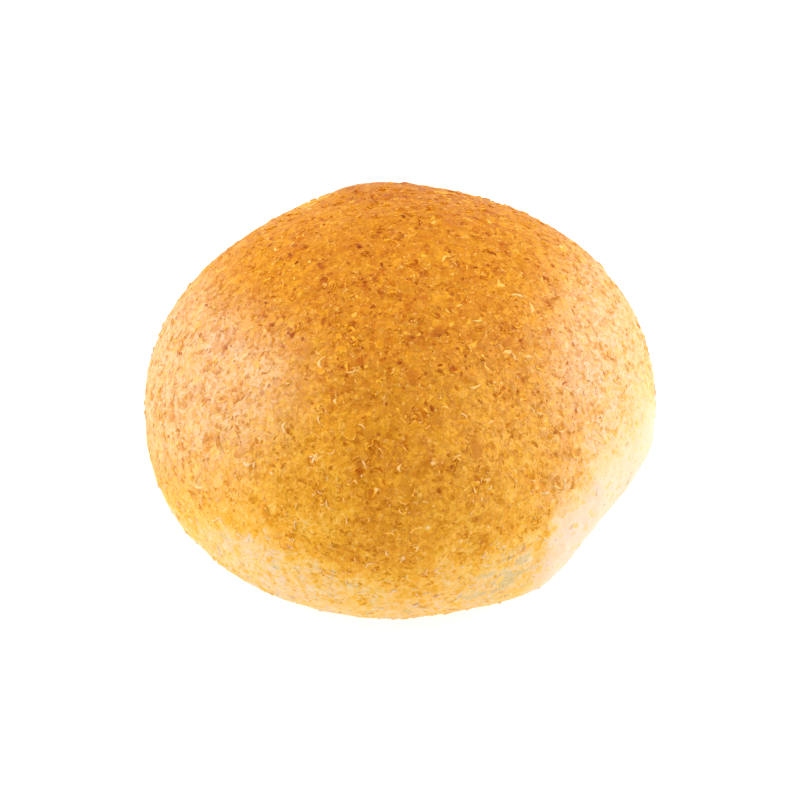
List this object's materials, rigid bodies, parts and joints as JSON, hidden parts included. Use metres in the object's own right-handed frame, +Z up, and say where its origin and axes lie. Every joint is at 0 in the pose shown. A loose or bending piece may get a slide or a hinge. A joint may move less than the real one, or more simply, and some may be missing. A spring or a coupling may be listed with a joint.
{
  "type": "whole wheat roll",
  "caption": "Round unslit whole wheat bread roll with a domed bran-flecked golden crust, a flat sole to rest on and one flattened pale side.",
  "frame": {"origin": "middle of the flat sole that the roll stands on", "axes": "+Z up to the crown, -Y to the front, +X to the right; the pale flattened side faces front right"},
  "size_m": [0.0927, 0.088, 0.0575],
  "materials": {
    "crust": "baked bread crust, softly glossy on the brown crown and matt where it is pale"
  },
  "bodies": {
    "root": {"roll": "crust"}
  },
  "joints": []
}
